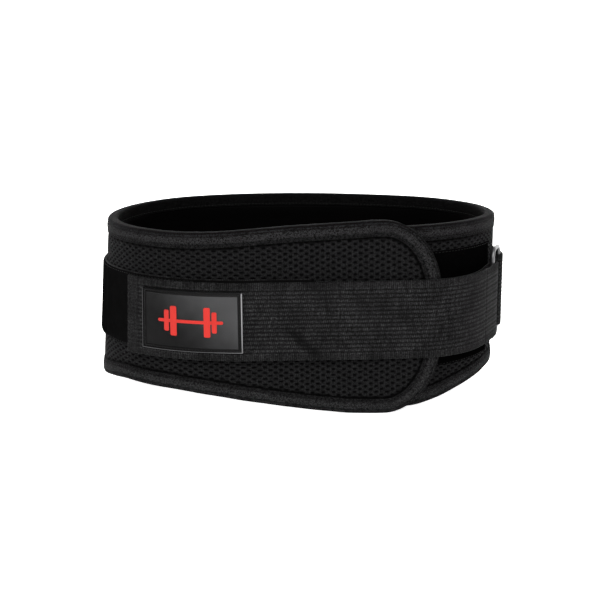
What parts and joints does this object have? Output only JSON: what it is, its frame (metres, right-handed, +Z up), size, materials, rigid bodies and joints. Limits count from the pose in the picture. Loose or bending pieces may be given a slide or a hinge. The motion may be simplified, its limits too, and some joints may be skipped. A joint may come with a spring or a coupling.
{
  "type": "neoprene training belt",
  "caption": "Wide padded belt closed in an oval round an empty waist, with a webbing pull strap through a wire ring and a rectangular label.",
  "frame": {"origin": "middle of the bounding box, on the surface that the belt stands on", "axes": "+X to the wearer's left across the belt, +Y from the front closure to the back, +Z up along the wearer"},
  "size_m": [0.3522, 0.2422, 0.1576],
  "materials": {
    "neoprene": "matte",
    "spacer_mesh": "matte",
    "edge_tape": "matte",
    "webbing": "matte",
    "velvet": "matte",
    "hook_tape": "matte",
    "ring_metal": "satin",
    "label_rubber": "satin",
    "label_print": "satin"
  },
  "bodies": {
    "root": {"core_panel": "neoprene", "mesh_face": "spacer_mesh", "upper_edge_tape": "edge_tape", "lower_edge_tape": "edge_tape", "waist_band": "webbing", "loop_strip": "velvet", "loop_patch": "velvet", "hook_patch": "hook_tape", "pull_strap": "webbing", "buckle_ring": "ring_metal", "label": "label_rubber", "label_motif": "label_print"}
  },
  "joints": []
}
